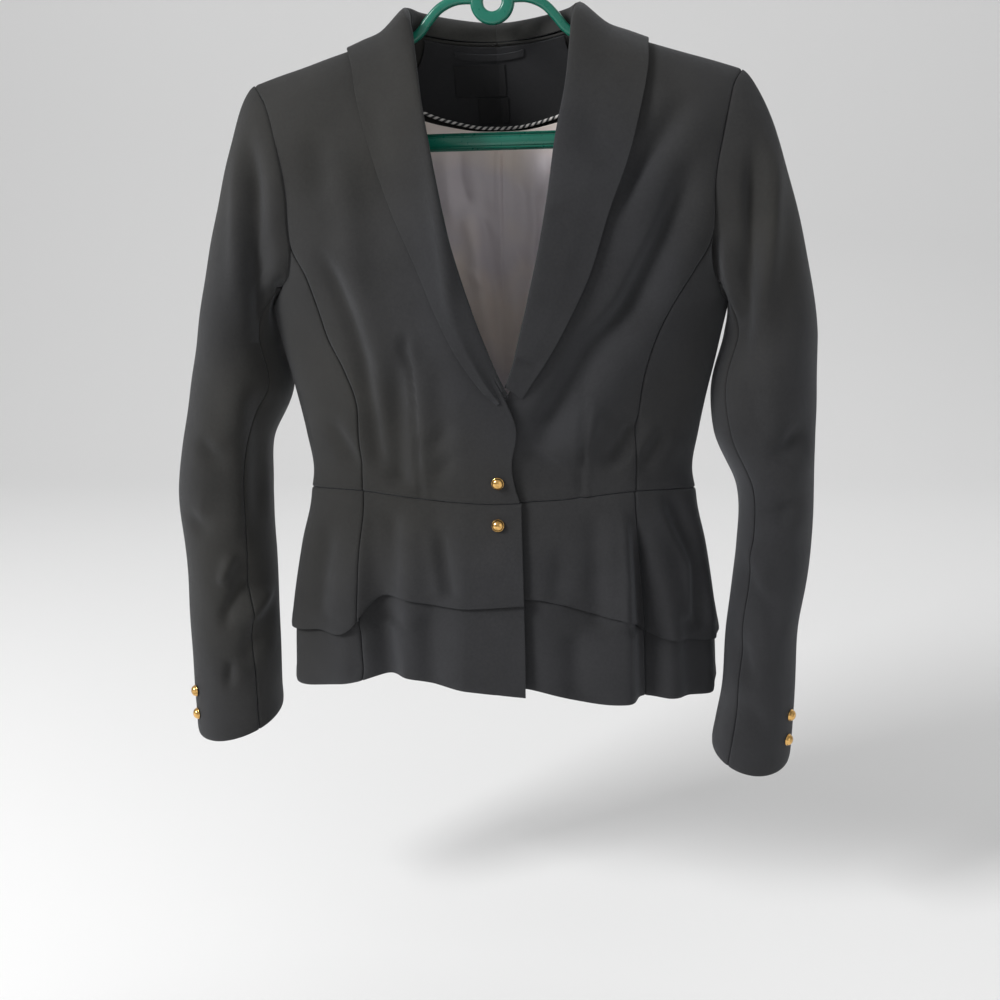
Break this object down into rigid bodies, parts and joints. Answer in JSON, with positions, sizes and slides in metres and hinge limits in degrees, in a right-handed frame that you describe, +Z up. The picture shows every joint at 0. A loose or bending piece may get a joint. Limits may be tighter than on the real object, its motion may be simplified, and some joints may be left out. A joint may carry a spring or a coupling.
{
  "type": "peplum jacket on a hanger",
  "caption": "Hip-length fitted jacket with a shawl collar, a two-tier fluted peplum and a low two-button closing, hung on a slim plastic clothes hanger with a bar",
  "frame": {"origin": "under the crown of the hanger's hook, where a rail carries it", "axes": "+Z up; the jacket's front faces -Y; +X is the viewer's right, the wearer's left"},
  "size_m": [0.5791, 0.1696, 0.7841],
  "materials": {
    "suiting": "fine plain-weave black suiting with a soft sheen",
    "facing": "plain dark facing cloth",
    "lining": "pale rose satin lining",
    "piping": "black and white striped piping",
    "label": "bare woven dark label",
    "button": "polished gold-coloured metal",
    "hanger": "glossy teal-green moulded plastic"
  },
  "bodies": {
    "root": {"hanger": "hanger", "front_right": "suiting", "front_left": "suiting", "side_front_right": "suiting", "side_front_left": "suiting", "side_back_right": "suiting", "side_back_left": "suiting", "back_right": "suiting", "back_left": "suiting", "top_sleeve_right": "suiting", "top_sleeve_left": "suiting", "under_sleeve_right": "suiting", "under_sleeve_left": "suiting", "collar_right": "suiting", "collar_left": "suiting", "upper_peplum_front_right": "suiting", "upper_peplum_front_left": "suiting", "upper_peplum_side_right": "suiting", "upper_peplum_side_left": "suiting", "upper_peplum_back_right": "suiting", "upper_peplum_back_left": "suiting", "lower_peplum_front_right": "suiting", "lower_peplum_front_left": "suiting", "lower_peplum_side_right": "suiting", "lower_peplum_side_left": "suiting", "lower_peplum_back_right": "suiting", "lower_peplum_back_left": "suiting", "neck_facing": "facing", "neck_piping": "piping", "lining_right": "lining", "lining_left": "lining", "hanger_loop": "facing", "neck_label": "label", "size_label": "label", "waist_button_upper": "button", "waist_button_lower": "button", "cuff_button_right_1": "button", "cuff_button_right_2": "button", "cuff_button_left_1": "button", "cuff_button_left_2": "button"}
  },
  "joints": []
}
